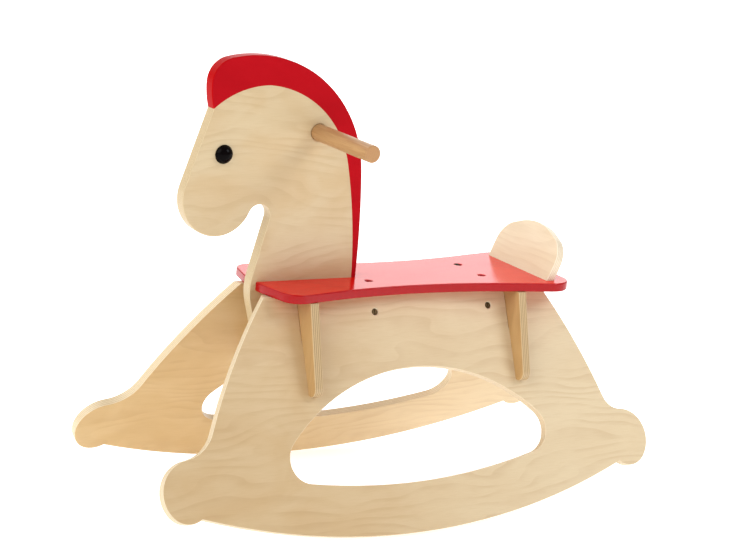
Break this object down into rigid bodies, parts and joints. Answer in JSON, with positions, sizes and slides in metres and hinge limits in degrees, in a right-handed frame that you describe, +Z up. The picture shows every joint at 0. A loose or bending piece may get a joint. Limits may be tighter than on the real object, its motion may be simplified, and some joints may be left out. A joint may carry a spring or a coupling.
{
  "type": "rocking horse",
  "caption": "Toddler's rocking horse in flat birch plywood: splayed rocker panels, cross braces, waisted red seat, low backrest, upright head with red mane and a round bar handle.",
  "frame": {"origin": "on the floor under the middle of the length, on the horse's centre plane", "axes": "+Z up, -X the way the head looks, +Y the horse's right-hand side; the horse is symmetric about y = 0"},
  "size_m": [0.7479, 0.353, 0.5976],
  "materials": {
    "birch_ply": "clear satin lacquer on birch plywood",
    "dowel": "clear satin lacquer on a turned bar",
    "red_stain": "red glossy stain with the grain showing",
    "red_lacquer": "opaque red satin lacquer",
    "eye_black": "polished black",
    "zinc_steel": "zinc plated"
  },
  "bodies": {
    "root": {"head_panel": "birch_ply", "mane": "red_lacquer", "left_eye": "eye_black", "right_eye": "eye_black", "handle_bar": "dowel", "seat_board": "red_stain", "backrest": "birch_ply", "left_rocker": "birch_ply", "right_rocker": "birch_ply", "front_brace": "birch_ply", "rear_brace": "birch_ply", "seat_bolts": "zinc_steel", "barrel_nuts": "zinc_steel", "backrest_screws": "zinc_steel", "head_screws": "zinc_steel"}
  },
  "joints": []
}
